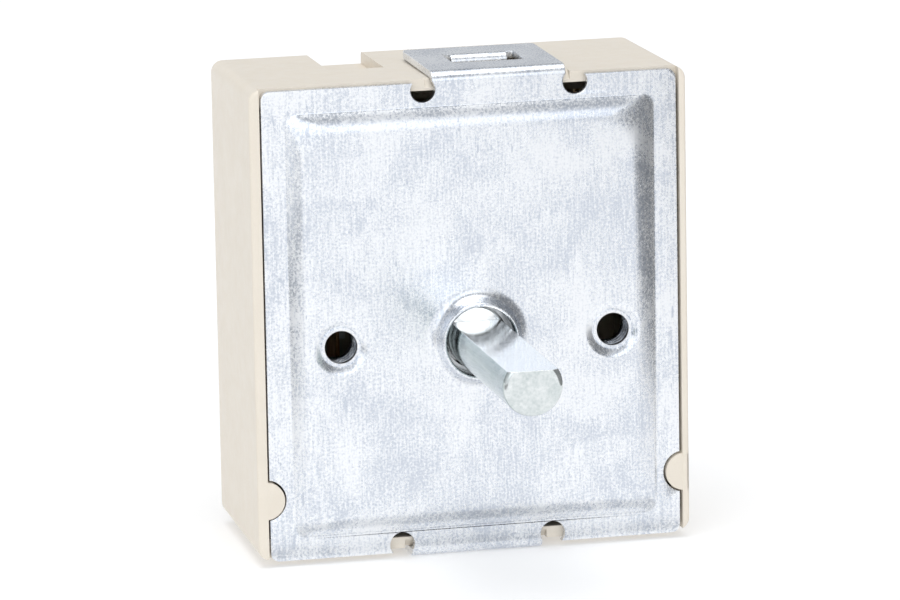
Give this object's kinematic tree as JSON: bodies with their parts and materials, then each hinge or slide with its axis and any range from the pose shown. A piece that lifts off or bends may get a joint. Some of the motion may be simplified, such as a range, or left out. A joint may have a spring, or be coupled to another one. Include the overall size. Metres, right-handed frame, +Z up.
{
  "type": "rotary energy regulator switch",
  "caption": "Rotary energy regulator for a cooker hotplate: cream case, zinc-plated front plate, D-shaft, cam-driven bimetal and isolating switches, blade terminals.",
  "frame": {"origin": "where the shaft's axis meets the outer face of the raised front panel", "axes": "-Y along the shaft, out of the control panel; +Z up, towards the front plate's offset tab; +X to the right seen from the shaft side"},
  "size_m": [0.0447, 0.0522, 0.0495],
  "materials": {
    "case": "cream thermoset, moulded, satin",
    "plate": "bright zinc plate with fine streaks",
    "shaft": "turned and zinc plated, glossy",
    "drum": "dark brown thermoset",
    "steel": "plain zinc-plated steel",
    "terminal": "plain brass strip",
    "spring": "copper alloy spring strip",
    "contact": "silver contact rivet",
    "bimetal": "rolled bimetal strip",
    "mica": "mica sheet, slightly glossy",
    "heater": "oxidised resistance wire",
    "ceramic": "unglazed white ceramic"
  },
  "bodies": {
    "case": {"housing": "case", "front_plate": "plate", "thrust_washer": "steel", "terminal_line_in": "terminal", "terminal_line_out": "terminal", "terminal_neutral_in": "terminal", "terminal_neutral_out": "terminal", "terminal_pilot": "terminal", "bimetal_bracket": "steel", "lever_pivot_pin": "steel", "bimetal_rivet": "steel", "snap_fixed_contact": "contact", "snap_rivet": "steel", "neutral_fixed_contact": "contact", "neutral_rivet": "steel", "pilot_fixed_contact": "contact", "pilot_rivet": "steel", "heater_lead_load": "heater", "heater_lead_neutral": "heater"},
    "shaft_and_cams": {"shaft": "shaft", "cam_drum": "drum", "retaining_clip": "steel"},
    "lever": {"control_lever": "steel", "calibration_screw": "terminal"},
    "bimetal": {"bimetal_strip": "bimetal", "heater_sleeve": "mica", "heater_winding": "heater", "pusher": "ceramic"},
    "snap_arm": {"snap_blade": "spring", "snap_moving_contact": "contact"},
    "neutral_arm": {"neutral_blade": "spring", "neutral_follower": "ceramic", "neutral_moving_contact": "contact"},
    "pilot_arm": {"pilot_blade": "spring", "pilot_follower": "ceramic", "pilot_moving_contact": "contact"}
  },
  "joints": [
    {"name": "shaft_turn", "type": "hinge", "parent": "case", "child": "shaft_and_cams", "pos_m": [0, 0, 0], "axis": [0, 1, 0], "range_deg": [0, 300]},
    {"name": "lever_follow", "type": "hinge", "parent": "case", "child": "lever", "pos_m": [-0.013, 0.0063, 0.0102], "axis": [0, 1, 0], "range_deg": [0, 8.8]},
    {"name": "bimetal_bend", "type": "hinge", "parent": "case", "child": "bimetal", "pos_m": [-0.0169, 0.0063, 0.0148], "axis": [0, -1, 0], "range_deg": [0, 1.2], "stiffness_Nm_per_rad": 0.02},
    {"name": "snap_bend", "type": "hinge", "parent": "case", "child": "snap_arm", "pos_m": [-0.0128, 0.0063, 0.01935], "axis": [0, -1, 0], "range_deg": [0, 1.55]},
    {"name": "neutral_bend", "type": "hinge", "parent": "case", "child": "neutral_arm", "pos_m": [0.0148, 0.0125, -0.01555], "axis": [0, -1, 0], "range_deg": [0, 1.1], "stiffness_Nm_per_rad": 0.02},
    {"name": "pilot_bend", "type": "hinge", "parent": "case", "child": "pilot_arm", "pos_m": [-0.0148, 0.0125, 0.01935], "axis": [0, -1, 0], "range_deg": [0, 0.95], "stiffness_Nm_per_rad": 0.02}
  ],
  "couplings": [
    {"joint": "lever_follow", "follows": "shaft_turn", "ratio": 0.029333},
    {"joint": "snap_bend", "follows": "bimetal_bend", "ratio": 1.26}
  ]
}
